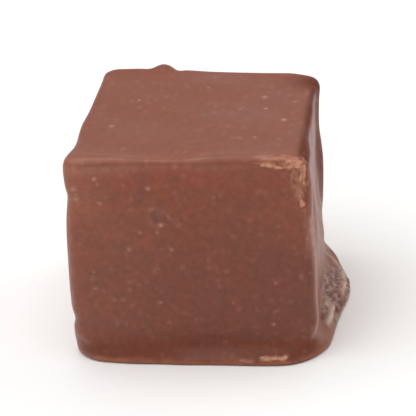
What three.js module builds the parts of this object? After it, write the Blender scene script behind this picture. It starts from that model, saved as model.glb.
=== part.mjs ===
// One piece of chocolate-coated turkish delight: a cube of jelly, dipped whole in milk chocolate
// and set on a flat surface. The coating rounds the cut edges, hangs in low lumps at the corners,
// and runs down the walls into a thin foot that spreads unevenly round the base.
// Millimetres, +Z up. X is the width, and -Y is the face that looks at the viewer.
import * as THREE from "three";
import { mergeVertices } from "three/addons/utils/BufferGeometryUtils.js";

const { lerp, smoothstep } = THREE.MathUtils;

// ---- Driving dimensions -------------------------------------------------------------------
const WIDTH = 23.9; // between the side walls
const DEPTH = 24.1; // between the front and back walls
const HEIGHT = 22.0; // from the base to the top
const CORNER_RADIUS = { frontLeft: 1.5, frontRight: 1.2, backRight: 3.1, backLeft: 1.5 };

// A list of values round the piece starts at the front and runs through right, back and left.
const TOP_EDGE_RADIUS = [0.6, 1.7, 1.1, 1.0];
const TOP_EDGE_LIP = [0.2, 0.0, 0.2, 0.15]; // height of the coating raised along the top edge
const LIP_SPREAD = 1.3; // how far from the edge the raised coating fades

// How far the foot reaches past each wall and, between two walls, past their corner.
const FOOT_REACH = [1.0, 0.9, 2.05, 1.0, 1.3, 0.9, 1.1, 0.0];
const FOOT_CORNER_RADIUS = { frontLeft: 3.2, frontRight: 3.8, backRight: 3.4, backLeft: 3.0 };
// Height at which the foot has narrowed to about a third of its reach.
const FOOT_HEIGHT = [1.25, 1.5, 2.0, 1.7, 1.5, 1.5, 2.2, 2.7];
const FOOT_HOLLOW = 2.4; // over 1 makes the foot round at its rim and hollow above it
// The wall is drawn in just above the foot: how many times the foot's height up that crease is,
// and how wide and how deep.
const CREASE = { times: 1.6, spread: 0.9, depth: 0.22 };
const RIM_RADIUS = 0.4; // round of the foot's lower edge

// How far each corner of the cut cube sits from a true cube's, in x, y and z.
const TOP_SHIFT = {
  frontLeft: new THREE.Vector3(-0.2, 0.0, 0.3),
  frontRight: new THREE.Vector3(0.0, 0.0, 0.25),
  backRight: new THREE.Vector3(-0.6, -0.6, -0.3),
  backLeft: new THREE.Vector3(0.1, 0.6, 0.5),
};
const BASE_SHIFT = {
  frontLeft: new THREE.Vector3(-1.2, -0.1, 0.0),
  frontRight: new THREE.Vector3(0.05, -0.1, 0.0),
  backRight: new THREE.Vector3(-0.8, 0.3, 0.0),
  backLeft: new THREE.Vector3(-0.8, 0.3, 0.0),
};

// Low lumps and hollows of the set coating. Each swells the skin by its height, or draws it in
// where the height is negative, and fades over its spread in x, y and z.
const LUMPS = [
  { at: [-12.3, -12.2, 19.9], spread: [1.4, 1.4, 1.7], height: 0.6 }, // drop on the front left corner
  { at: [-12.4, -12.2, 17.4], spread: [1.0, 1.5, 0.8], height: -0.35 }, // notch under that drop
  { at: [-5.2, 12.6, 22.0], spread: [0.9, 1.0, 1.0], height: 1.05 }, // nub on the back edge
  { at: [1.5, 12.3, 22.2], spread: [4.0, 1.5, 1.3], height: -0.14 }, // low run beside that nub
  { at: [11.6, 10.6, 21.2], spread: [1.1, 1.1, 1.1], height: 0.35 }, // lip on the back right corner
  { at: [11.9, 11.4, 18.6], spread: [1.0, 1.0, 0.9], height: -0.2 }, // waist below that lip
  { at: [11.3, 9.6, 14.2], spread: [1.8, 2.2, 3.0], height: 0.22 }, // swelling lower on that edge
  { at: [11.4, 8.8, 5.8], spread: [2.0, 3.0, 2.0], height: -0.32 }, // waist below that
  { at: [14.4, 4.0, 0.6], spread: [3.0, 4.5, 1.8], height: 0.9 }, // lobe of the foot on the right
  { at: [5.5, -13.0, 0.4], spread: [4.5, 2.0, 1.2], height: 0.25 }, // lobe of the foot in front
  { at: [-6.5, -12.9, 0.3], spread: [2.6, 1.8, 1.2], height: 0.35 }, // lobe further left
  { at: [-12.0, 3.0, 22.0], spread: [2.5, 5.0, 3.0], height: -0.42 }, // dip of the left top edge
  { at: [-12.2, -7.0, 21.8], spread: [2.0, 3.4, 2.2], height: -0.35 }, // and its run to the drop
  { at: [-2.0, 0.0, 22.0], spread: [8.0, 8.0, 3.0], height: -0.2 }, // slight dip of the top
  { at: [-6.2, -12.0, 22.0], spread: [2.6, 1.2, 1.2], height: 0.15 }, // crest of the front top edge
  { at: [-1.1, -12.0, 22.0], spread: [2.6, 1.2, 1.2], height: -0.2 }, // sag of the front top edge
  { at: [4.0, -12.0, 22.0], spread: [2.6, 1.2, 1.2], height: 0.2 }, // next crest of that edge
  { at: [12.0, -12.0, 22.0], spread: [2.0, 2.0, 1.5], height: -0.35 }, // worn front right corner
  { at: [5.0, -12.4, 12.0], spread: [6.0, 3.0, 6.0], height: 0.25 }, // belly of the front
  { at: [-12.6, -9.0, 12.5], spread: [3.0, 5.0, 5.5], height: 0.5 }, // belly of the left wall
];

// Slow swell of the whole skin, as the sum of waves. A wave is given in radians per millimetre.
const SWELL = [
  { height: 0.09, wave: [0.42, 0.17, 0.31], phase: 0.4 },
  { height: 0.07, wave: [-0.23, 0.49, 0.38], phase: 2.1 },
  { height: 0.05, wave: [0.61, -0.34, 0.55], phase: 4.0 },
  { height: 0.04, wave: [0.37, 0.71, -0.83], phase: 1.3 },
];

// ---- Mesh density -------------------------------------------------------------------------
const ACROSS = 26; // cells across each face
const UP = 28; // cells up each wall
const CROWDING = 0.32; // 0 spreads the cells evenly, 0.5 packs them hard against the edges
const LOW_CROWDING = 1.35; // over 1 packs the rows of the walls down towards the foot

// ---- Values that change round the piece ---------------------------------------------------
// The value in the list that starts at the front, at the place (u, v) on the outline of the square
// -1 to 1, blended smoothly between neighbours.
function around(values, u, v) {
  const turn = (Math.atan2(u, -v) / (2 * Math.PI) + 1) % 1; // 0 at the front, 0.25 at the right
  const place = turn * values.length;
  const index = Math.floor(place) % values.length;
  const next = (index + 1) % values.length;
  return lerp(values[index], values[next], smoothstep(place - Math.floor(place), 0, 1));
}

// The name of the corner nearest the place (u, v).
function cornerName(u, v) {
  return (v < 0 ? "front" : "back") + (u < 0 ? "Left" : "Right");
}

// ---- The plain block with its foot --------------------------------------------------------
// Rounds the corner at 0, 0 of the quarter plane x <= 0, y <= 0. Gives the point of the round that
// stands for (x, y), and the way the round faces there.
function roundCorner(x, y, radius) {
  const innerX = Math.min(x, -radius);
  const innerY = Math.min(y, -radius);
  const away = Math.hypot(x - innerX, y - innerY);
  if (away === 0) return { x, y, faceX: 0, faceY: 0 };
  const faceX = (x - innerX) / away;
  const faceY = (y - innerY) / away;
  return { x: innerX + faceX * radius, y: innerY + faceY * radius, faceX, faceY };
}

// Carries the point (u, v, w) of the cube -1 to 1 onto the plain block. Gives the point and the way
// the skin moves there when it swells: outwards, and near the base only sideways.
function blockSkin(u, v, w) {
  const ring = Math.max(Math.abs(u), Math.abs(v)); // 0 at the middle of the top, 1 on a wall
  const [sideU, sideV] = ring > 0 ? [u / ring, v / ring] : [1, 0];

  // The section through a wall: x is how far outside the wall, y how far past the top or base.
  const half = (WIDTH + DEPTH) / 4;
  const rise = HEIGHT * ((w + 1) / 2) ** LOW_CROWDING;
  const isUpper = rise > HEIGHT / 2;
  const section = isUpper
    ? roundCorner((ring - 1) * half, rise - HEIGHT, around(TOP_EDGE_RADIUS, sideU, sideV))
    : roundCorner((ring - 1) * half, -rise, RIM_RADIUS);
  const z = isUpper ? HEIGHT + section.y : -section.y;

  // The outline in plan at that height.
  const share = 1 + section.x / half; // of the way from the middle of the block to its wall
  const halfX = (WIDTH / 2) * share;
  const halfY = (DEPTH / 2) * share;
  const footHeight = around(FOOT_HEIGHT, sideU, sideV);
  const footShare = Math.exp(-((z / footHeight) ** FOOT_HOLLOW)); // 1 at the base
  const name = cornerName(u, v);
  const radius = lerp(CORNER_RADIUS[name], FOOT_CORNER_RADIUS[name], footShare) * share;
  const corner = roundCorner((Math.abs(sideU) - 1) * halfX, (Math.abs(sideV) - 1) * halfY, radius);
  const outX = corner.faceX * Math.sign(u);
  const outY = corner.faceY * Math.sign(v);

  const aboveCrease = (z - footHeight * CREASE.times) / CREASE.spread;
  const crease = CREASE.depth * Math.exp(-(aboveCrease ** 2));
  const foot = around(FOOT_REACH, sideU, sideV) * footShare - crease;
  const nearEdge = Math.exp(-((section.x ** 2 + section.y ** 2) / LIP_SPREAD ** 2));
  const lip = isUpper ? around(TOP_EDGE_LIP, sideU, sideV) * nearEdge : 0;
  const swelling = isUpper
    ? new THREE.Vector3(outX * section.faceX, outY * section.faceX, section.faceY)
    : new THREE.Vector3(outX * ring, outY * ring, 0);
  const point = new THREE.Vector3(
    (halfX + corner.x) * Math.sign(u) + outX * foot * ring,
    (halfY + corner.y) * Math.sign(v) + outY * foot * ring,
    z,
  ).addScaledVector(swelling, lip);
  return { point, swelling };
}

// ---- The uneven coating -------------------------------------------------------------------
// The shift given for four corners, blended to the place (u, v) of the square -1 to 1.
function betweenCorners(shift, u, v) {
  const right = (u + 1) / 2;
  const front = shift.frontLeft.clone().lerp(shift.frontRight, right);
  const back = shift.backLeft.clone().lerp(shift.backRight, right);
  return front.lerp(back, (v + 1) / 2);
}

// How far the corners of the cut cube move the point.
function cutShift({ x, y, z }) {
  const u = x / (WIDTH / 2);
  const v = y / (DEPTH / 2);
  return betweenCorners(BASE_SHIFT, u, v).lerp(betweenCorners(TOP_SHIFT, u, v), z / HEIGHT);
}

// How far the lumps and the slow swell lift the skin at the point.
function relief({ x, y, z }) {
  const lumps = LUMPS.reduce((sum, { at, spread, height }) => {
    const far = Math.hypot((x - at[0]) / spread[0], (y - at[1]) / spread[1], (z - at[2]) / spread[2]);
    return sum + height * Math.exp(-(far ** 2));
  }, 0);
  const swell = SWELL.reduce(
    (sum, { height, wave, phase }) =>
      sum + height * Math.sin(wave[0] * x + wave[1] * y + wave[2] * z + phase),
    0,
  );
  return lumps + swell;
}

function coatedSkin(u, v, w) {
  const { point, swelling } = blockSkin(u, v, w);
  const lift = relief(point);
  return point.add(cutShift(point)).addScaledVector(swelling, lift);
}

// Moves a place between -1 and 1 towards the nearer end, so that the cells crowd at the edges.
const crowd = (t) => t * (1 + CROWDING * (1 - t * t));

// ---- The piece ----------------------------------------------------------------------------
function coatedCube() {
  const box = new THREE.BoxGeometry(2, 2, 2, ACROSS, ACROSS, UP);
  box.deleteAttribute("normal");
  box.deleteAttribute("uv");
  const geometry = mergeVertices(box, 1e-4);
  const places = geometry.getAttribute("position");
  for (let i = 0; i < places.count; i++) {
    const u = crowd(places.getX(i));
    const v = crowd(places.getY(i));
    const w = crowd(places.getZ(i));
    const { x, y, z } = coatedSkin(u, v, w);
    places.setXYZ(i, x, y, z);
  }

  // The part's origin is in the base, under the middle of its box.
  geometry.computeBoundingBox();
  const middle = geometry.boundingBox.getCenter(new THREE.Vector3());
  geometry.translate(-middle.x, -middle.y, -geometry.boundingBox.min.z);
  geometry.computeVertexNormals();

  const milkChocolate = new THREE.MeshStandardMaterial({
    color: 0x855447,
    roughness: 0.5,
    metalness: 0.0,
  });
  const mesh = new THREE.Mesh(geometry, milkChocolate);
  mesh.name = "coated_delight";
  return mesh;
}

const piece = new THREE.Group();
piece.add(coatedCube());
export default piece;
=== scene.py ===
"""The look of one piece of chocolate-coated turkish delight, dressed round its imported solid.

The skin starts as a copy of the solid and is made finer. It takes the relief of set chocolate:
a wavy bead along the front top edge, small chips, pale specks, and a crumbly patch on the foot.
Lengths in the code are in metres, and names that end in _MM hold millimetres.
"""

import math

import bmesh
import bpy
from mathutils import Matrix, Vector, noise


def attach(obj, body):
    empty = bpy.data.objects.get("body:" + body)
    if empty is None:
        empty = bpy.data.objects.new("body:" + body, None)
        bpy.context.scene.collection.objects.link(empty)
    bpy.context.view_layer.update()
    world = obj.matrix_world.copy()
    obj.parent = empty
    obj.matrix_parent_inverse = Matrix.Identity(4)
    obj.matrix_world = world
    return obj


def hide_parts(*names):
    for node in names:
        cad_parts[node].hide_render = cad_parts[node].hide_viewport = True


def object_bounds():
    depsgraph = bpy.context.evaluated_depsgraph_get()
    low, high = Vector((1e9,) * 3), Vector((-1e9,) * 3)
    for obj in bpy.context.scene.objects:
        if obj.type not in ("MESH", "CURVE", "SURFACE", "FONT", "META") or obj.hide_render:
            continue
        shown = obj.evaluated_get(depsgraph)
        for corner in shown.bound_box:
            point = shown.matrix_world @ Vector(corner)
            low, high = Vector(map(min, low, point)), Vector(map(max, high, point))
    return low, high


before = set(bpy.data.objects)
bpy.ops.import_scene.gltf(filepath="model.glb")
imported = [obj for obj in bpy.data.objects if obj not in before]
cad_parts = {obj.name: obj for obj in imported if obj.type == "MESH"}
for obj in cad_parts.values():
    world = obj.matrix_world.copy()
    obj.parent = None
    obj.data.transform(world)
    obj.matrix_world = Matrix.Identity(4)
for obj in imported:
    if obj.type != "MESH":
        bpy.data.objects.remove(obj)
CAD_BOX = [list(corner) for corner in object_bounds()]

bl_info = {
    "name": "Chocolate-coated turkish delight",
    "version": (1, 0, 0),
    "blender": (4, 5, 0),
    "location": "3D View > Sidebar > Delight",
    "description": "Builds a dipped cube of turkish delight and its studio",
    "category": "Add Mesh",
}

NODE = "coated_delight"
MM = 0.001  # one millimetre in metres
PER_MM = 1 / MM


def linear(hex_colour):
    """Turns an sRGB hex value, such as #8b5545, into linear red, green and blue."""
    channels = [int(hex_colour[i:i + 2], 16) / 255 for i in (1, 3, 5)]
    return tuple(c / 12.92 if c <= 0.04045 else ((c + 0.055) / 1.055) ** 2.4 for c in channels)


def smooth(low, high, value):
    """0 at low, 1 at high, and a soft blend between them. low may lie above high."""
    share = min(max((value - low) / (high - low), 0.0), 1.0)
    return share * share * (3 - 2 * share)


# ---- Settings -----------------------------------------------------------------------------
class DelightSettings(bpy.types.PropertyGroup):
    """Sizes and colours of the coated piece."""

    chocolate: bpy.props.FloatVectorProperty(
        name="Milk chocolate", description="Colour of the coating", subtype="COLOR",
        size=3, min=0.0, max=1.0, default=linear("#83442b"))
    # Besides the real clouds, a painted reflection on the left crease and painted shade in hollows.
    cloud: bpy.props.FloatVectorProperty(
        name="Cloud", description="Colour of the faint, duller clouds in the coating",
        subtype="COLOR", size=3, min=0.0, max=1.0, default=linear("#764134"))
    # Under the front top lip this is a painted warm glow; elsewhere the coating's own warm patches.
    warm: bpy.props.FloatVectorProperty(
        name="Warm", description="Colour where the coating is thin and warmer",
        subtype="COLOR", size=3, min=0.0, max=1.0, default=linear("#8d432d"))
    # Painted shade: the foot's crease, the right edges, the pits, and partly the lower front.
    deep: bpy.props.FloatVectorProperty(
        name="Deep", description="Colour where the coating has run thick, above the foot",
        subtype="COLOR", size=3, min=0.0, max=1.0, default=linear("#643529"))
    # A painted warm glow of light through the thin lowest rim, and on the front left corner.
    rim: bpy.props.FloatVectorProperty(
        name="Rim", description="Colour of the foot's thin lower rim", subtype="COLOR",
        size=3, min=0.0, max=1.0, default=linear("#a8633f"))
    # This colour also paints the highlights along the lip, the edges and the foot's left corner.
    speck: bpy.props.FloatVectorProperty(
        name="Speck", description="Colour of the small pale specks", subtype="COLOR",
        size=3, min=0.0, max=1.0, default=linear("#b98472"))
    scuff: bpy.props.FloatVectorProperty(
        name="Scuff", description="Colour of rubbed edges and chips", subtype="COLOR",
        size=3, min=0.0, max=1.0, default=linear("#d09679"))
    # Partly the grains' own pale colour, partly a painted grey reflection, and the crests' highlights.
    crumb: bpy.props.FloatVectorProperty(
        name="Crumb", description="Colour of the grains on the crumbly patch of the foot",
        subtype="COLOR", size=3, min=0.0, max=1.0, default=linear("#d0b5a7"))
    relief: bpy.props.FloatProperty(
        name="Relief", description="Height of the slow unevenness of the skin",
        unit="LENGTH", min=0.0, max=0.5 * MM, default=0.035 * MM)
    bead: bpy.props.FloatProperty(
        name="Bead", description="Height of the bead along the front top edge",
        unit="LENGTH", min=0.0, max=0.5 * MM, default=0.03 * MM)
    chip: bpy.props.FloatProperty(
        name="Chip", description="Depth of the chips along the rubbed edges",
        unit="LENGTH", min=0.0, max=0.5 * MM, default=0.03 * MM)
    grain: bpy.props.FloatProperty(
        name="Grain", description="Height of the grains on the crumbly patch of the foot",
        unit="LENGTH", min=0.0, max=1.0 * MM, default=0.18 * MM)


class StudioSettings(bpy.types.PropertyGroup):
    """The floor, the lights and the camera."""

    azimuth: bpy.props.FloatProperty(
        name="Azimuth", description="Camera's turn from the front towards the right",
        subtype="ANGLE", default=math.radians(8.41))
    elevation: bpy.props.FloatProperty(
        name="Elevation", description="Camera's height above the horizon",
        subtype="ANGLE", default=math.radians(25.19))
    roll: bpy.props.FloatProperty(
        name="Roll", description="Camera's turn about its own axis",
        subtype="ANGLE", default=math.radians(-4.52))
    distance: bpy.props.FloatProperty(
        name="Distance", description="From the camera to the middle of the piece",
        unit="LENGTH", min=0.05, default=0.2341)
    lens: bpy.props.FloatProperty(
        name="Lens", description="Focal length for a sensor 36 mm wide", unit="CAMERA",
        min=10.0, default=195.0)
    floor: bpy.props.FloatVectorProperty(
        name="Floor", description="Colour of the floor", subtype="COLOR",
        size=3, min=0.0, max=1.0, default=linear("#fcfcfb"))
    surround: bpy.props.FloatProperty(
        name="Surround", description="Brightness of the light from all round",
        min=0.0, default=0.45)
    key: bpy.props.FloatProperty(
        name="Key", description="Power of the wide light above, a little to the left",
        subtype="POWER", min=0.0, default=16.5)
    fill: bpy.props.FloatProperty(
        name="Fill", description="Power of the soft light from the right",
        subtype="POWER", min=0.0, default=4.2)
    back: bpy.props.FloatProperty(
        name="Back", description="Power of the low wide light behind the piece",
        subtype="POWER", min=0.0, default=0.8)


# ---- Marks on the skin --------------------------------------------------------------------
# Places are in millimetres in the frame's own axes: x to the right, -y to the front, z up.
# A rub runs from one end to the other, and its reach is how far from that line it goes.
RUBS_MM = [
    {"ends": [(7.4, -12.0, 22.15), (11.3, -11.6, 21.8)], "reach": 0.75, "strength": 0.4},
    {"ends": [(7.6, -12.3, 21.75), (8.6, -12.3, 21.65)], "reach": 0.35, "strength": 1.0},
    {"ends": [(8.8, -12.3, 21.35), (9.8, -12.2, 21.3)], "reach": 0.35, "strength": 1.0},
    {"ends": [(10.1, -12.1, 21.5), (11.2, -11.8, 21.5)], "reach": 0.45, "strength": 1.0},
    {"ends": [(9.9, -12.1, 22.0), (11.2, -11.9, 21.9)], "reach": 0.4, "strength": 0.8},
    {"ends": [(11.4, -11.9, 21.2), (11.35, -12.1, 19.6)], "reach": 0.5, "strength": 1.0},
    {"ends": [(10.5, -12.2, 20.7), (10.9, -12.3, 18.8)], "reach": 0.9, "strength": 0.35},
    {"ends": [(11.05, -12.3, 18.1), (11.05, -12.3, 17.4)], "reach": 0.35, "strength": 0.9},
    {"ends": [(11.3, -12.2, 16.6), (11.4, -12.2, 12.0)], "reach": 0.45, "strength": 0.2},
    {"ends": [(6.2, -13.35, 0.85), (8.5, -13.3, 0.75)], "reach": 0.38, "strength": 1.0},
    {"ends": [(3.5, -13.4, 0.65), (5.2, -13.4, 0.7)], "reach": 0.4, "strength": 0.4},
]
RUB_END = 1.4  # a rub has faded to nothing at this many times its reach
FLECK_MM = 0.32  # how wide a rub's flecks are
FLECK_STRETCH = 0.6  # how much longer they are along the rub than across it, 0 to 1
# Low ridges and, where the height is negative, grooves: the points that one runs through, how far
# it spreads from that line and its height. Most take a mark too, by an amount, and those that
# taper have lost that share of their spread, height and mark at their far end.
# Their pale marks are mostly painted highlights, and their dark ones painted shade.
RIDGES_MM = [
    # The lip along the front top edge: a pale band under it, which is strongest on the left, a pale
    # line on it, and a pale strip behind it whose middle is dull. All three are painted highlights.
    {"path": [(-11.2, -12.3, 21.4), (-6.0, -12.3, 21.6), (-0.1, -12.1, 21.45), (5.7, -12.4, 21.6),
              (10.9, -12.2, 21.4)],
     "spread": 0.65, "height": 0.03, "mark": "bead", "amount": 0.8, "taper": 0.75},
    {"path": [(-11.2, -12.1, 22.1), (-6.0, -12.2, 22.15), (-0.1, -12.0, 21.9), (5.7, -12.2, 22.15),
              (10.9, -12.0, 21.8)],
     "spread": 0.5, "height": 0.0, "mark": "bead", "amount": 0.45},
    {"path": [(-10.5, -10.9, 22.3), (-3.9, -10.8, 22.2), (4.2, -11.1, 22.4), (10.2, -10.9, 22.3)],
     "spread": 0.6, "height": 0.0, "mark": "dull", "amount": 0.6},
    {"path": [(-10.5, -11.1, 22.3), (-3.9, -11.0, 22.2), (4.2, -11.3, 22.4), (10.2, -11.1, 22.3)],
     "spread": 0.8, "height": 0.0, "mark": "bead", "amount": 0.6},
    # The front left corner is a little warmer, with a painted glow of light, and the nub on the back
    # edge is steep, with a dip at each side.
    {"path": [(-11.5, -12.2, 20.6), (-11.0, -12.3, 17.6)],
     "spread": 2.2, "height": 0.0, "mark": "rim", "amount": 0.45},
    {"path": [(-5.3, 12.9, 22.6), (-5.1, 11.9, 22.5)],
     "spread": 0.8, "height": 0.12, "mark": "cloud", "amount": 0.3},
    {"path": [(-6.7, 12.9, 22.4), (-6.7, 11.5, 22.4)],
     "spread": 0.6, "height": -0.08},
    {"path": [(-3.7, 12.9, 22.3), (-3.7, 11.5, 22.3)],
     "spread": 0.6, "height": -0.12},
    # The back right edge, the side's top end, a fine line down it, and its front edge, which is dark
    # on the front and pale round the corner. The dark marks are painted shade, the pale one a highlight.
    {"path": [(11.4, 8.5, 22.0), (11.5, 8.2, 18.0), (11.5, 7.8, 12.0), (11.5, 7.6, 6.0)],
     "spread": 2.7, "height": 0.0, "mark": "deep", "amount": 1.0, "taper": 0.4},
    {"path": [(11.3, 3.5, 20.6), (11.6, -3.0, 19.6), (11.7, -8.0, 19.2)],
     "spread": 1.2, "height": 0.0, "mark": "deep", "amount": 0.4, "taper": 0.5},
    {"path": [(11.8, -8.4, 17.5), (11.9, -9.4, 13.2), (11.8, -8.8, 9.0), (11.8, -9.4, 5.5)],
     "spread": 0.8, "height": -0.12, "mark": "deep", "amount": 0.35},
    {"path": [(11.6, -12.0, 20.6), (11.35, -12.2, 14.0), (11.3, -12.2, 7.0)],
     "spread": 0.4, "height": 0.0, "mark": "deep", "amount": 0.5, "taper": 0.4},
    {"path": [(11.8, -11.8, 15.5), (11.85, -11.6, 11.0), (11.9, -11.4, 7.0), (11.9, -11.2, 4.4),
              (11.5, -11.9, 2.6)],
     "spread": 0.32, "height": 0.1, "mark": "crest", "amount": 0.45},
    # The pale rim of the foot round its crumbly side, the dark edge outside it, and pale crests and a
    # dark hollow at the patch's front end. The pale marks are painted highlights, the dark ones shade.
    {"path": [(11.6, 6.8, 3.2), (12.2, 6.5, 1.7), (13.1, 4.7, 1.35), (13.5, 2.4, 1.2),
              (13.4, -0.1, 1.2)],
     "spread": 0.45, "height": 0.22, "mark": "crest", "amount": 0.75, "taper": 0.2},
    {"path": [(11.9, 9.2, 1.6), (13.3, 6.4, 0.8), (13.9, 3.8, 0.8), (13.9, 2.1, 0.8)],
     "spread": 0.45, "height": 0.0, "mark": "deep", "amount": 0.9},
    {"path": [(13.4, -1.4, 0.9), (13.0, -4.6, 0.9)],
     "spread": 0.35, "height": -0.1, "mark": "deep", "amount": 0.8},
    {"path": [(12.75, -3.8, 1.5), (12.6, -5.4, 1.4), (12.35, -7.0, 1.4)],
     "spread": 0.35, "height": 0.25, "mark": "crest", "amount": 1.0},
    {"path": [(12.5, -2.9, 1.9), (12.1, -4.3, 2.1)],
     "spread": 0.3, "height": 0.2, "mark": "crest", "amount": 0.7},
    {"path": [(12.05, -5.6, 1.9), (11.95, -7.0, 1.8)],
     "spread": 0.3, "height": -0.15, "mark": "deep", "amount": 0.8},
    # The lip dies away towards the right, where its darker colour is painted shade, and the foot's left
    # corner has a soft pale bead, a painted highlight.
    {"path": [(3.0, -11.9, 22.3), (6.2, -12.0, 22.4)],
     "spread": 0.6, "height": 0.0, "mark": "deep", "amount": 0.25},
    {"path": [(-12.9, -11.0, 3.6), (-12.4, -11.8, 3.0), (-11.5, -12.1, 2.4)],
     "spread": 0.4, "height": 0.1, "mark": "bead", "amount": 0.7},
    # The left edge, the faint curls on the front, and two faint hollows there. The left edge's pale
    # line is a painted highlight, and the hollows' darker colour painted shade.
    {"path": [(-12.0, -12.2, 16.5), (-12.4, -12.3, 10.0), (-12.7, -12.2, 4.0)],
     "spread": 0.45, "height": 0.1, "mark": "bead", "amount": 0.3},
    {"path": [(-4.1, -12.3, 17.1), (-3.1, -12.3, 17.2), (-2.3, -12.3, 16.7), (-2.1, -12.3, 16.0)],
     "spread": 0.17, "height": 0.03, "mark": "bead", "amount": 0.6},
    {"path": [(-4.2, -12.3, 16.3), (-3.9, -12.3, 15.6), (-3.3, -12.3, 15.2), (-2.6, -12.3, 15.5)],
     "spread": 0.17, "height": 0.03, "mark": "bead", "amount": 0.6},
    {"path": [(-3.5, -12.3, 16.4), (-2.9, -12.3, 16.2)],
     "spread": 0.7, "height": -0.06, "mark": "cloud", "amount": 1.0},
    {"path": [(-4.6, -12.2, 20.4), (-4.9, -12.2, 18.0)],
     "spread": 0.6, "height": -0.05, "mark": "cloud", "amount": 1.0},
]
RIDGE_PATHS = [[Vector(point) for point in ridge["path"]] for ridge in RIDGES_MM]
RIDGE_END = 3  # a ridge is left out beyond this many times its spread
DISH_DEPTH_MM = 0.4
# Where the wide marks lie. Along each axis named, a mark is absent at the first number and whole at
# the second.
REGIONS_MM = {
    # The right side's shallow dish is deepest near its far end, at the thick back edge.
    "dish": (
        ("y", -8.0, 4.5), ("y", 8.0, 6.2), ("x", 9.5, 11.0), ("z", 7.0, 10.5), ("z", 21.8, 19.8)),
    # A warm glow is painted under the lip, and shade in the crease and on the right top edge.
    "below_lip": (("z", 18.6, 20.3), ("z", 21.7, 21.2), ("x", 10.0, -4.0)),
    "above_foot": (("z", 4.0, 1.5), ("z", 0.4, 1.1)),
    "left": (("x", 4.0, -9.0),),
    "all_but_left": (("x", -11.0, 0.0),),
    "right_top_edge": (("x", 10.3, 11.1), ("z", 20.7, 21.4)),
    "bead": (("y", -10.0, -11.6),),
    "front_crumbs": (("y", 3.0, -4.0),),
    "above_base": (("z", 0.02, 0.5),),
}
# Small pale specks: place, radius and strength.
SPECKS_MM = [
    ((6.2, 4.3, 21.8), 0.29, 0.81), ((6.6, 1.0, 21.9), 0.22, 0.81), ((4.0, 1.1, 21.9), 0.24, 0.61),
    ((8.7, -2.1, 22.0), 0.26, 1.0), ((9.4, 2.5, 21.9), 0.22, 0.61), ((6.2, -6.7, 22.1), 0.22, 0.54),
    ((4.7, -7.0, 22.2), 0.22, 0.47), ((0.1, 6.2, 22.2), 0.22, 0.54), ((-8.7, -3.2, 22.2), 0.26, 0.81),
    ((-6.8, 3.4, 22.1), 0.22, 0.54), ((-9.2, -12.3, 20.5), 0.22, 0.9), ((-8.9, -12.2, 19.8), 0.18, 0.6),
    ((-8.9, -12.2, 17.8), 0.24, 0.7), ((-4.0, -12.2, 19.3), 0.24, 0.8), ((-6.4, -12.2, 19.7), 0.16, 0.4),
    ((-8.2, -12.2, 18.4), 0.16, 0.4), ((-3.0, -12.3, 15.4), 0.24, 1.0), ((-3.4, -12.4, 14.6), 0.2, 0.6),
    ((-5.1, -12.3, 14.6), 0.2, 0.5), ((-3.7, -12.3, 17.0), 0.16, 0.4), ((-1.8, -12.3, 16.0), 0.16, 0.4),
    ((-6.4, -12.2, 12.7), 0.26, 0.5), ((-2.1, -12.5, 12.8), 0.26, 0.5), ((-10.2, -12.3, 10.3), 0.2, 0.5),
    ((-10.1, -12.4, 8.5), 0.2, 0.5), ((-3.7, -12.1, 6.7), 0.18, 0.6), ((8.0, -12.2, 8.8), 0.18, 0.5),
    ((-11.35, -12.2, 19.4), 0.36, 0.6), ((-11.2, -12.1, 18.8), 0.3, 0.4),
    ((-11.2, -12.1, 18.2), 0.34, 0.55), ((3.6, -12.4, 6.7), 0.18, 0.5), ((7.5, -12.3, 4.2), 0.22, 0.6),
    ((11.4, -12.1, 9.8), 0.16, 0.4),
]
SPECK_REACH_MM = 0.9  # beyond this distance from its middle, a speck leaves no mark
TOP_SPECKS_MM = 21.0  # the specks above this height lie on the top
# The crumbly patch on top of the foot's right side: its middle, and its reach each way.
CRUMB_MM = {"at": (13.0, -0.6, 1.6), "reach": (2.2, 7.6, 2.4)}
# The bead along the front top edge: no part of it is lower, and it is highest where the skin has
# turned so many degrees from facing the front to facing up.
BEAD_LOWEST_MM = 20.5
BEAD_TURN = 64
BEAD_SPREAD = 25
BEAD_WAVE_MM = 2.0  # how long the waves in its strength are

# What the skin carries from its making to its finish, each as a number at every vertex. The mark
# "wall" is 1 on the walls and sinks to this share on the flat top, where less mottling shows.
FLAT_SHARE = 0.45
MARKS = (
    "scuff", "crumb", "pit", "crest", "bead", "speck", "warm", "rim", "deep", "dull", "cloud",
    "wall")


def region(name, place):
    """How much of one of the wide marks a place in millimetres has, 0 to 1."""
    return math.prod(
        smooth(absent, whole, getattr(place, axis)) for axis, absent, whole in REGIONS_MM[name])


def distance_to_line(point, start, end):
    """How far a point is from the stretch between start and end, and its share of the way along."""
    along = end - start
    share = min(max((point - start).dot(along) / along.length_squared, 0.0), 1.0)
    return (point - start - along * share).length, share


def rub_mark(place):
    """How rubbed the skin is at a place in millimetres, 0 to 1, in flecks."""
    most = 0.0
    for rub in RUBS_MM:
        start, end = (Vector(end) for end in rub["ends"])
        away = distance_to_line(place, start, end)[0] / rub["reach"]
        if away < RUB_END:
            along = (end - start).normalized()
            across = place - along * place.dot(along) * FLECK_STRETCH
            ragged = away - 0.9 * noise.noise(across / FLECK_MM)
            fade = smooth(RUB_END, 1.0, away)
            most = max(most, rub["strength"] * smooth(0.95, 0.1, ragged) * fade)
    return most


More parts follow.
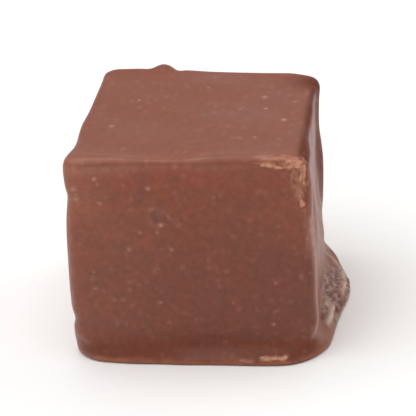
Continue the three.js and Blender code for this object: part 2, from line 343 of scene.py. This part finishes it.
def ridge_parts(place):
    """How far the ridges and the dish move the skin, in millimetres, and the ridges' marks."""
    lift = -DISH_DEPTH_MM * region("dish", place)
    marks = dict.fromkeys(("bead", "deep", "dull", "cloud", "crest", "rim"), 0.0)
    for ridge, path in zip(RIDGES_MM, RIDGE_PATHS):
        (away, share), stretch = min(
            (distance_to_line(place, path[i], path[i + 1]), i) for i in range(len(path) - 1))
        left = 1 - ridge.get("taper", 0.0) * (stretch + share) / (len(path) - 1)
        away /= ridge["spread"] * left
        if away < RIDGE_END:
            near = left * math.exp(-away ** 2)
            lift += ridge["height"] * near * (1 + 0.3 * noise.noise(place / 1.5))
            if "mark" in ridge:
                marks[ridge["mark"]] = max(marks[ridge["mark"]], ridge["amount"] * near)
    return lift, marks


def speck_mark(place):
    """How far into a speck a place is: over 0.5 inside its rim, and 0 well outside it.

    The specks on the top are drawn out from front to back.
    """
    most = 0.0
    for middle, radius, _ in SPECKS_MM:
        offset = place - Vector(middle)
        if middle[2] > TOP_SPECKS_MM:
            offset.y *= 0.7
        away = offset.length
        if away < SPECK_REACH_MM:
            away = 1.2 * away * (1 + 0.4 * noise.noise(place / 0.4))
            most = max(most, 0.5 + 0.5 * (radius - away) / radius)
    return most


def speck_strength(place):
    """The strength of the nearest speck."""
    nearest = min(SPECKS_MM, key=lambda speck: (place - Vector(speck[0])).length)
    return nearest[2]


def crumb_mark(place):
    """How crumbly the skin is at a place in millimetres, 0 to 1."""
    offset = place - Vector(CRUMB_MM["at"])
    away = Vector(offset[i] / CRUMB_MM["reach"][i] for i in range(3)).length
    return smooth(1.0, 0.65, away + noise.noise(place / 1.2) * 0.3)


def bead_mark(place, normal):
    """How much a place has of the wavy bead where the top turns into the front, about 0 to 1."""
    if place.z < BEAD_LOWEST_MM or normal.y > 0:
        return 0.0
    turn = math.degrees(math.atan2(normal.z, -normal.y))
    wave = 0.75 + 0.6 * noise.noise(Vector((place.x / BEAD_WAVE_MM, 0.0, 0.0)))
    bead = wave * math.exp(-((turn - BEAD_TURN) / BEAD_SPREAD) ** 2)
    return bead * smooth(0.75, 0.55, abs(normal.x)) * region("bead", place)


# ---- The skin -----------------------------------------------------------------------------
MERGE_WITHIN = 0.001 * MM
JOIN_ANGLE = math.radians(60)  # two triangles at less than this become one four-sided face
SUBDIVISIONS = 2
FIT_PASSES = 3  # how often the corners move out to make up for the smoothing
# The two passes that make the skin finer: how far they reach past a mark, and the shortest edge
# that they split. The second is for the rubs and the specks alone.
REFINE_MM = ((0.35, 0.0), (0.1, 0.08))
BEAD_SHOWS = 0.15  # a bead over this strength needs the finer skin
CRUMBS_SHOW = 0.1  # and so do crumbs over this one
FOLD_ANGLE = math.radians(75)  # between two faces that meet in a fold
FOLD_PASSES = 8
ON_BASE = 0.002 * MM  # a face all under this height belongs to the underside
ABOVE_BASE = 0.02 * MM  # a vertex over this height isn't on the base's edge
NUB_SPARE = 0.2 * MM  # how far the nub on the back edge may rise above the solid's box
MOST_CORNERS = 8  # a face with more of them is the underside
# The unevenness of the skin: how wide its swells, its folds down the walls, its small bumps and
# its two sizes of crumb are. Each size of crumb has its share of the height before it.
SWELL_MM = 3.1
FOLD_MM = (1.6, 1.6, 9.0)
BUMP_MM = 0.9
CRUMB_SIZES_MM = ((0.9, 0.7), (0.7, 0.38))
SPECK_HEIGHT = 0.05 * MM
SIDEWAYS_MM = 0.6  # below this height, the skin moves only sideways


def fine_skin():
    """A smooth, finer copy of the solid's surface as a new mesh, with its corners merged."""
    shell = bmesh.new()
    shell.from_mesh(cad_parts[NODE].data)
    bmesh.ops.remove_doubles(shell, verts=shell.verts, dist=MERGE_WITHIN)
    bmesh.ops.join_triangles(
        shell, faces=shell.faces, angle_face_threshold=JOIN_ANGLE,
        angle_shape_threshold=JOIN_ANGLE)
    mesh = bpy.data.meshes.new("coating")
    shell.to_mesh(mesh)
    shell.free()

    carrier = bpy.data.objects.new("coating_carrier", mesh)
    bpy.context.scene.collection.objects.link(carrier)
    subdivision = carrier.modifiers.new("Finer", "SUBSURF")
    subdivision.levels = SUBDIVISIONS
    subdivision.render_levels = SUBDIVISIONS
    # Smoothing draws the skin in, so its corners move out until it meets the solid's own points.
    graph = bpy.context.evaluated_depsgraph_get()
    aims = [vertex.co.copy() for vertex in mesh.vertices]
    for _ in range(FIT_PASSES):
        smoothed = carrier.evaluated_get(graph).data
        moves = [aim - smoothed.vertices[i].co for i, aim in enumerate(aims)]
        for vertex, move in zip(mesh.vertices, moves):
            vertex.co += move
        mesh.update()
        carrier.update_tag()
        graph.update()
    fine = bpy.data.meshes.new_from_object(carrier.evaluated_get(graph))
    bpy.data.objects.remove(carrier)
    return fine


def near_a_mark(place, normal, spare):
    """True where a place in millimetres is within spare of a rub or a speck, or on the bead."""
    if bead_mark(place, normal) > BEAD_SHOWS:
        return True
    for rub in RUBS_MM:
        start, end = (Vector(end) for end in rub["ends"])
        if distance_to_line(place, start, end)[0] < rub["reach"] + spare:
            return True
    return any((place - Vector(speck[0])).length < speck[1] + spare for speck in SPECKS_MM)


def refine_marks(shell):
    """Makes the skin finer where it carries marks."""
    for spare, shortest in REFINE_MM:
        shell.normal_update()
        edges = set()
        for face in shell.faces:
            place = face.calc_center_median() * PER_MM
            if near_a_mark(place, face.normal, spare) or crumb_mark(place) > CRUMBS_SHOW:
                edges.update(face.edges)
        if shortest:
            edges = {
                edge for edge in edges
                if edge.calc_length() > shortest * MM
                and bead_mark(edge.verts[0].co * PER_MM, edge.verts[0].normal) < BEAD_SHOWS
                and crumb_mark(edge.verts[0].co * PER_MM) < CRUMBS_SHOW}
        made = bmesh.ops.subdivide_edges(
            shell, edges=list(edges), cuts=1, use_grid_fill=True, smooth=0.0)
        verts = [item for item in made["geom_inner"] if isinstance(item, bmesh.types.BMVert)]
        bmesh.ops.smooth_vert(
            shell, verts=verts, factor=0.4, use_axis_x=True, use_axis_y=True, use_axis_z=True)


def unfold(shell):
    """Smooths the few spots above the base where the relief has folded the skin sharply."""
    for _ in range(FOLD_PASSES):
        folded = {
            vertex for edge in shell.edges if edge.calc_face_angle(0.0) > FOLD_ANGLE
            for vertex in edge.verts if vertex.co.z > ABOVE_BASE}
        bmesh.ops.smooth_vert(
            shell, verts=list(folded), factor=0.5, use_axis_x=True, use_axis_y=True,
            use_axis_z=True)
        shell.normal_update()


def crumb_grain(place):
    """The height of the crumbs' grains at a place in millimetres, about -1 to 1."""
    return sum(share * noise.noise(place / width) for share, width in CRUMB_SIZES_MM)


def skin_marks(place, normal, own, ridge_marks):
    """What the finish reads at a place in millimetres: every mark's strength, 0 to 1.

    own has the strengths there of the rubs, the crumbs, the bead and the specks.
    """
    front = smooth(0.3, 0.8, -normal.y)
    wall = 1 - abs(normal.z)
    crumb = own["crumb"] * (1 - 0.85 * ridge_marks["bead"])
    patches = min(max(0.6 + 1.3 * noise.noise(place / 1.3), 0.0), 1.0)
    # The lowest rim of the walls, painted with a warm glow of light through its thin edge.
    thin = smooth(0.9, 0.3, place.z + 0.4 * noise.noise(place / 1.5)) * wall
    # The crease over the foot, which is painted in shade.
    foot = region("above_foot", place) * front
    left = region("left", place)
    # Painted shade along the right top edge, away from the rubs.
    edge = 0.95 * region("right_top_edge", place) * (1 - own["rub"])
    # The front is painted darker towards its bottom and right, partly as shade.
    low = smooth(21.0, 8.0, place.z + 4 * noise.noise(place / 5)) * smooth(-22.0, 8.0, place.x)
    return {
        "scuff": own["rub"],
        "crumb": crumb,
        # Painted shade in the pits between the crumbs.
        "pit": crumb * smooth(0.25, -0.3, crumb_grain(place)) if crumb > 0 else 0.0,
        # Painted highlights on the crests.
        "crest": ridge_marks["crest"],
        # The bead's pale colour: painted highlights along the lip and the edges, and the pale curls.
        "bead": max(own["bead"], ridge_marks["bead"]),
        "speck": own["speck"] * speck_strength(place) if own["speck"] > 0 else 0.0,
        # A painted warm glow of light under the front top lip.
        "warm": patches * region("below_lip", place) * front,
        "rim": max(thin, ridge_marks["rim"]),
        # Painted shade: the foot's crease, the right top edge, the lower front and the ridges' dark
        # marks.
        "deep": max((0.7 - 0.3 * left) * foot, edge, 0.6 * low * front, ridge_marks["deep"]),
        "dull": max(
            0.6 * foot, edge, 0.2 * front * region("all_but_left", place), ridge_marks["deep"],
            ridge_marks["dull"]),
        # A painted greyer reflection in the crease on the left, and the ridges' painted shade in
        # hollows.
        "cloud": max(0.8 * left * foot, ridge_marks["cloud"]),
        "wall": FLAT_SHARE + (1 - FLAT_SHARE) * wall,
    }


def skin_lift(place, normal, own, crumb, settings):
    """How far the skin rises at a place in millimetres, in metres, apart from the ridges."""
    wall = 1 - abs(normal.z)
    swell = noise.noise(place / SWELL_MM + Vector((7.0, 0.0, 0.0)))
    bump = noise.noise(place / BUMP_MM) * wall
    fold = noise.noise(Vector(place[i] / FOLD_MM[i] for i in range(3))) * wall
    right = smooth(0.5, 0.9, normal.x)
    lift = settings.relief * (0.5 * swell + (0.8 + right) * fold + 0.25 * bump)
    lift += settings.bead * own["bead"] * (0.75 + 0.6 * noise.noise(place / 1.5))
    lift -= settings.chip * own["rub"] * (0.5 + noise.noise(place / 0.5))
    lift += SPECK_HEIGHT * smooth(0.4, 0.9, own["speck"])
    if crumb > 0:
        height = 0.8 + 0.4 * region("front_crumbs", place)
        lift += settings.grain * crumb * crumb_grain(place) * height
    return lift


def shape_skin(mesh, settings):
    """Gives the skin its relief, and stores what the finish needs as attributes."""
    shell = bmesh.new()
    shell.from_mesh(mesh)
    underside = [
        face for face in shell.faces
        if face.normal.z < -0.99 and all(vertex.co.z < ON_BASE for vertex in face.verts)]
    bmesh.ops.dissolve_faces(shell, faces=underside, use_verts=True)
    refine_marks(shell)
    shell.normal_update()

    layers = {name: shell.verts.layers.float.new(name) for name in MARKS}
    moves = []
    for vertex in shell.verts:
        place = vertex.co * PER_MM
        normal = vertex.normal.copy()
        own = {
            "rub": rub_mark(place), "crumb": crumb_mark(place),
            "bead": bead_mark(place, normal), "speck": speck_mark(place)}
        ridges, ridge_marks = ridge_parts(place)
        marks = skin_marks(place, normal, own, ridge_marks)
        for name, strength in marks.items():
            vertex[layers[name]] = strength
        lift = skin_lift(place, normal, own, marks["crumb"], settings) + ridges * MM
        if place.z < SIDEWAYS_MM:
            normal.z = 0.0
        moves.append(normal * lift * region("above_base", place))
    for vertex, move in zip(shell.verts, moves):
        vertex.co += move

    low, high = (Vector(corner) for corner in CAD_BOX)
    high.z += NUB_SPARE
    for vertex in shell.verts:
        vertex.co = Vector(min(max(vertex.co[i], low[i]), high[i]) for i in range(3))
    unfold(shell)
    bmesh.ops.recalc_face_normals(shell, faces=shell.faces)
    for face in shell.faces:
        face.smooth = len(face.verts) <= MOST_CORNERS
    shell.to_mesh(mesh)
    shell.free()


# ---- Finish -------------------------------------------------------------------------------
def add_node(tree, kind, settings=None, inputs=None):
    """Adds a node, sets its properties, and links or sets each of its inputs."""
    node = tree.nodes.new(kind)
    for name, value in (settings or {}).items():
        setattr(node, name, value)
    for name, value in (inputs or {}).items():
        if isinstance(value, bpy.types.Node):
            value = value.outputs[0]
        if isinstance(value, bpy.types.NodeSocket):
            tree.links.new(value, node.inputs[name])
        else:
            node.inputs[name].default_value = value
    return node


SPOT_CELL_MM = 0.9  # the pale spots lie in cells this wide, at most one in each
SPOT_WOBBLE_MM = 0.5  # how wide the bends in their outlines are
SHADE_CONTRAST = 0.19  # between the darkest and the lightest fine shading
# Patterns of the coating: how wide the blobs are in millimetres, how many finer layers they have,
# and the values of the noise that turn into 0 and 1.
PATTERNS_MM = {
    "cloud": (2.6, 1.5, 0.35, 0.75),
    "warm": (2.0, 1.5, 0.38, 0.75),
    "shade": (0.6, 2.0, 0.3, 0.7),
    "ragged": (0.4, 2.0, 0.3, 0.7),
    "grains": (0.45, 2.0, 0.35, 0.65),
    "gloss": (1.3, 2.0, 0.3, 0.7),
}


def milk_chocolate(settings):
    """Milk chocolate, poured over and set in air: satin, faintly clouded, with pale specks.

    Cocoa butter gives it an IOR near 1.46 and a soft gloss. A little light goes in, so that
    thin rims look warmer, and a warm glow is painted on them too. Clouds a few millimetres wide,
    fine shading, small pale specks and rubbed edges that turn light tan break up its colour.
    Painted highlights and painted shade lie over these along the edges, in creases and hollows,
    and on the crumbly patch.
    """
    material = bpy.data.materials.new("milk_chocolate")
    material.use_nodes = True
    tree = material.node_tree
    tree.nodes.clear()
    object_place = add_node(tree, "ShaderNodeTexCoord").outputs["Object"]
    # In millimetres, drawn out a little from front to back.
    place = add_node(
        tree, "ShaderNodeMapping", None,
        {"Vector": object_place, "Scale": (PER_MM, 0.7 * PER_MM, PER_MM)})

    pattern = {}
    for number, (name, (width, detail, low, high)) in enumerate(PATTERNS_MM.items()):
        moved = add_node(
            tree, "ShaderNodeMapping", None, {"Vector": place, "Location": (31.0 * number, 0, 0)})
        blobs = add_node(
            tree, "ShaderNodeTexNoise", None,
            {"Vector": moved, "Scale": 1 / width, "Detail": detail, "Roughness": 0.55})
        pattern[name] = add_node(
            tree, "ShaderNodeMapRange", {"interpolation_type": "SMOOTHSTEP"},
            {"Value": blobs, "From Min": low, "From Max": high})
    mark = {
        name: add_node(tree, "ShaderNodeAttribute", {"attribute_name": name}).outputs["Fac"]
        for name in MARKS}

    # Faint, soft, pale spots about half a millimetre wide, in most of the cells.
    wobble = add_node(
        tree, "ShaderNodeTexNoise", None,
        {"Vector": place, "Scale": 1 / SPOT_WOBBLE_MM, "Detail": 1.0})
    bent = add_node(
        tree, "ShaderNodeVectorMath", {"operation": "MULTIPLY_ADD"},
        {0: wobble.outputs["Color"], 1: (0.5, 0.5, 0.5), 2: place})
    cells = add_node(
        tree, "ShaderNodeTexVoronoi", None, {"Vector": bent, "Scale": 1 / SPOT_CELL_MM})
    chance = add_node(tree, "ShaderNodeSeparateColor", None, {0: cells.outputs["Color"]})
    present = add_node(
        tree, "ShaderNodeMapRange", None, {"Value": chance, "From Min": 0.3, "From Max": 1.0})
    near = add_node(
        tree, "ShaderNodeMapRange", {"interpolation_type": "SMOOTHSTEP"},
        {"Value": cells.outputs["Distance"], "From Min": 0.55, "From Max": 0.0})
    dots = add_node(tree, "ShaderNodeMath", {"operation": "MULTIPLY"}, {0: near, 1: present})
    specks = add_node(
        tree, "ShaderNodeMapRange", {"interpolation_type": "SMOOTHSTEP"},
        {"Value": mark["speck"], "From Min": 0.0, "From Max": 0.95})

    # Where the patterns and the marks on the skin meet.
    ragged = add_node(
        tree, "ShaderNodeMapRange", None, {"Value": pattern["ragged"], "To Min": 0.4, "To Max": 1.0})
    worn = add_node(
        tree, "ShaderNodeMath", {"operation": "MULTIPLY"}, {0: mark["scuff"], 1: ragged})
    scuffed = add_node(
        tree, "ShaderNodeMapRange", None, {"Value": worn, "From Min": 0.0, "From Max": 0.8})
    crumbs = add_node(
        tree, "ShaderNodeMath", {"operation": "MULTIPLY"}, {0: mark["crumb"], 1: pattern["grains"]})
    clouds = add_node(
        tree, "ShaderNodeMath", {"operation": "MULTIPLY"}, {0: mark["wall"], 1: pattern["cloud"]})
    warmth = add_node(
        tree, "ShaderNodeMath", {"operation": "MULTIPLY"}, {0: mark["wall"], 1: pattern["warm"]})
    # From the lowest up: where each colour lies over those before it, and how much of it at most.
    overlays = [
        (clouds, settings.cloud, 0.45),
        (warmth, settings.warm, 0.6),
        # Painted reflection in the crease on the left, and painted shade in the front's hollows.
        (mark["cloud"], settings.cloud, 0.8),
        # A painted warm glow of light under the front top lip.
        (mark["warm"], settings.warm, 0.8),
        # Painted shade.
        (mark["deep"], settings.deep, 0.9),
        # A painted warm glow of light through the thin lower rim and on the front left corner.
        (mark["rim"], settings.rim, 0.6),
        # Painted highlights along the lip, the edges and the foot's left corner, and the pale curls.
        (mark["bead"], settings.speck, 0.25),
        (dots, settings.speck, 0.2),
        (specks, settings.speck, 0.85),
        # The crumbs' pale grains: partly their own colour, partly a painted reflection.
        (mark["crumb"], settings.crumb, 0.1),
        (crumbs, settings.crumb, 0.3),
        # Painted shade in the pits between the grains.
        (mark["pit"], settings.deep, 0.8),
        # Painted highlights on the crests.
        (mark["crest"], settings.crumb, 0.8),
        (scuffed, settings.scuff, 0.85),
    ]
    colour = (*settings.chocolate, 1.0)
    for where, over, most in overlays:
        share = add_node(tree, "ShaderNodeMath", {"operation": "MULTIPLY"}, {0: where, 1: most})
        # Of a mix node's sockets, 6 and 7 take its two colours, and 2 gives the mixed one.
        colour = add_node(
            tree, "ShaderNodeMix", {"data_type": "RGBA"},
            {0: share, 6: colour, 7: (*over, 1.0)}).outputs[2]

    # Fine shading, drawn a little coarser than the real grain so that it shows.
    centred = add_node(
        tree, "ShaderNodeMath", {"operation": "SUBTRACT"}, {0: pattern["shade"], 1: 0.5})
    uneven = add_node(
        tree, "ShaderNodeMath", {"operation": "MULTIPLY"}, {0: centred, 1: mark["wall"]})
    shade = add_node(
        tree, "ShaderNodeMath", {"operation": "MULTIPLY_ADD"},
        {0: uneven, 1: SHADE_CONTRAST, 2: 1.0})
    colour = add_node(
        tree, "ShaderNodeVectorMath", {"operation": "SCALE"}, {0: colour, "Scale": shade})

    # Satin gloss that varies softly: rougher where it is rubbed, and smoother on the crumbs.
    satin = add_node(
        tree, "ShaderNodeMapRange", None,
        {"Value": pattern["gloss"], "To Min": 0.41, "To Max": 0.47})
    rubbed = add_node(
        tree, "ShaderNodeMath", {"operation": "MULTIPLY_ADD"}, {0: scuffed, 1: 0.2, 2: satin})
    roughness = add_node(
        tree, "ShaderNodeMath", {"operation": "MULTIPLY_ADD"},
        {0: mark["crumb"], 1: -0.16, 2: rubbed})
    # A faint coat, and the surface's own sheen. The front has a little less of both, and the crease
    # over the foot and the right top edge have hardly any.
    coat = add_node(
        tree, "ShaderNodeMapRange", None, {"Value": mark["dull"], "To Min": 0.1, "To Max": 0.0})
    sheen = add_node(
        tree, "ShaderNodeMapRange", None, {"Value": mark["dull"], "To Min": 0.5, "To Max": 0.0})

    # A bump for the grain that is finer than the skin's own relief. The flat top has less of it.
    height = add_node(
        tree, "ShaderNodeMath", {"operation": "MULTIPLY_ADD"},
        {0: crumbs, 1: 2.5, 2: pattern["shade"]})
    grainy = add_node(
        tree, "ShaderNodeMapRange", None,
        {"Value": mark["wall"], "From Min": FLAT_SHARE, "From Max": 1.0,
         "To Min": 0.1, "To Max": 1.0})
    bump = add_node(
        tree, "ShaderNodeBump", None,
        {"Height": height, "Strength": grainy, "Distance": 0.015 * MM})
    surface = add_node(tree, "ShaderNodeBsdfPrincipled", {"subsurface_method": "RANDOM_WALK"}, {
        "Base Color": colour, "Roughness": roughness, "Normal": bump,
        "IOR": 1.46, "Metallic": 0.0, "Subsurface Weight": 0.12,
        "Subsurface Radius": (1.0, 0.35, 0.2), "Subsurface Scale": 0.6 * MM,
        "Specular IOR Level": sheen, "Coat Weight": coat, "Coat Roughness": 0.28,
        "Coat IOR": 1.46})
    add_node(tree, "ShaderNodeOutputMaterial", None, {"Surface": surface})
    return material


def studio_paper(settings):
    """White studio paper: matt and even, so that it only takes the soft shadow."""
    material = bpy.data.materials.new("studio_paper")
    material.use_nodes = True
    surface = material.node_tree.nodes["Principled BSDF"]
    surface.inputs["Base Color"].default_value = (*settings.floor, 1.0)
    surface.inputs["Roughness"].default_value = 0.9
    surface.inputs["Specular IOR Level"].default_value = 0.2
    return material


# Each light's colour, size and place, in metres. They all point at the origin.
WHITE = (1.0, 1.0, 1.0)
LIGHTS = {
    "key": (WHITE, 1.7, (-0.35, -0.2, 1.25)),
    "fill": ((1.0, 0.94, 0.82), 0.9, (1.3, 0.6, 0.5)),
    "back": (WHITE, 1.0, (0.25, 1.3, 0.75)),
}
FLOOR_REACH = 3.0  # from the middle of the floor to each side, in metres
SENSOR_WIDTH = 36.0  # in millimetres


# ---- Operators ----------------------------------------------------------------------------
class DELIGHT_OT_dipped_cube(bpy.types.Operator):
    """Build the dipped cube over its solid"""

    bl_idname = "delight.dipped_cube"
    bl_label = "Dipped cube"

    def execute(self, context):
        settings = context.scene.delight
        mesh = fine_skin()
        shape_skin(mesh, settings)
        mesh.name = "dipped_cube"
        mesh.materials.clear()
        mesh.materials.append(milk_chocolate(settings))
        piece = bpy.data.objects.new("dipped_cube", mesh)
        context.scene.collection.objects.link(piece)
        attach(piece, "root")
        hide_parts(NODE)
        return {"FINISHED"}


class DELIGHT_OT_studio(bpy.types.Operator):
    """Build the pale floor, the soft lights and the camera"""

    bl_idname = "delight.studio"
    bl_label = "Studio"

    def execute(self, context):
        settings = context.scene.studio
        self.lay_floor(context, settings)
        self.light_room(context, settings)
        for name, (colour, size, place) in LIGHTS.items():
            self.hang_light(context, name, getattr(settings, name), colour, size, place)
        self.place_camera(context, settings)
        context.scene.view_settings.view_transform = "Standard"
        return {"FINISHED"}

    def lay_floor(self, context, settings):
        """Lays the floor that the piece stands on."""
        shell = bmesh.new()
        bmesh.ops.create_grid(shell, x_segments=1, y_segments=1, size=FLOOR_REACH)
        mesh = bpy.data.meshes.new("floor")
        shell.to_mesh(mesh)
        shell.free()
        mesh.materials.append(studio_paper(settings))
        floor = bpy.data.objects.new("floor", mesh)
        context.scene.collection.objects.link(floor)

    def light_room(self, context, settings):
        """Lights the piece evenly from all round."""
        world = bpy.data.worlds.new("surround")
        world.use_nodes = True
        background = world.node_tree.nodes["Background"]
        background.inputs["Color"].default_value = (*WHITE, 1.0)
        background.inputs["Strength"].default_value = settings.surround
        context.scene.world = world

    def hang_light(self, context, name, power, colour, size, place):
        """Hangs one square light at a place, pointing at the origin."""
        lamp = bpy.data.lights.new(name, "AREA")
        lamp.color = colour
        lamp.size = size
        lamp.energy = power
        light = bpy.data.objects.new(name, lamp)
        light.location = place
        light.rotation_euler = (-light.location).to_track_quat("-Z", "Y").to_euler()
        context.scene.collection.objects.link(light)

    def place_camera(self, context, settings):
        """Aims the camera at the middle of the piece, from the settings' angles and distance."""
        lens = bpy.data.cameras.new("camera")
        lens.sensor_width = SENSOR_WIDTH
        lens.lens = settings.lens
        lens.clip_start = 0.01
        lens.clip_end = 20.0
        camera = bpy.data.objects.new("camera", lens)
        low, high = (Vector(corner) for corner in CAD_BOX)
        middle = (low + high) / 2
        level = math.cos(settings.elevation)
        back = Vector((
            math.sin(settings.azimuth) * level,
            -math.cos(settings.azimuth) * level,
            math.sin(settings.elevation)))
        turn = (-back).to_track_quat("-Z", "Y").to_matrix().to_4x4()
        place = Matrix.Translation(middle + back * settings.distance)
        camera.matrix_world = place @ turn @ Matrix.Rotation(settings.roll, 4, "Z")
        context.scene.collection.objects.link(camera)
        context.scene.camera = camera


class DELIGHT_PT_panel(bpy.types.Panel):
    """Lists the sizes, the colours and the two steps"""

    bl_idname = "DELIGHT_PT_panel"
    bl_label = "Turkish delight"
    bl_space_type = "VIEW_3D"
    bl_region_type = "UI"
    bl_category = "Delight"

    def draw(self, context):
        for title, group, step in (
            ("Piece", context.scene.delight, DELIGHT_OT_dipped_cube),
            ("Studio", context.scene.studio, DELIGHT_OT_studio),
        ):
            box = self.layout.box()
            box.label(text=title)
            for name in group.bl_rna.properties.keys():
                if name not in ("rna_type", "name"):
                    box.prop(group, name)
            box.operator(step.bl_idname)


CLASSES = (
    DelightSettings, StudioSettings, DELIGHT_OT_dipped_cube, DELIGHT_OT_studio, DELIGHT_PT_panel)


def register():
    for cls in CLASSES:
        bpy.utils.register_class(cls)
    bpy.types.Scene.delight = bpy.props.PointerProperty(type=DelightSettings)
    bpy.types.Scene.studio = bpy.props.PointerProperty(type=StudioSettings)


def unregister():
    del bpy.types.Scene.studio
    del bpy.types.Scene.delight
    for cls in reversed(CLASSES):
        bpy.utils.unregister_class(cls)


def main():
    register()
    bpy.ops.delight.dipped_cube()
    bpy.ops.delight.studio()
    bpy.context.view_layer.update()


if __name__ == "__main__":
    main()
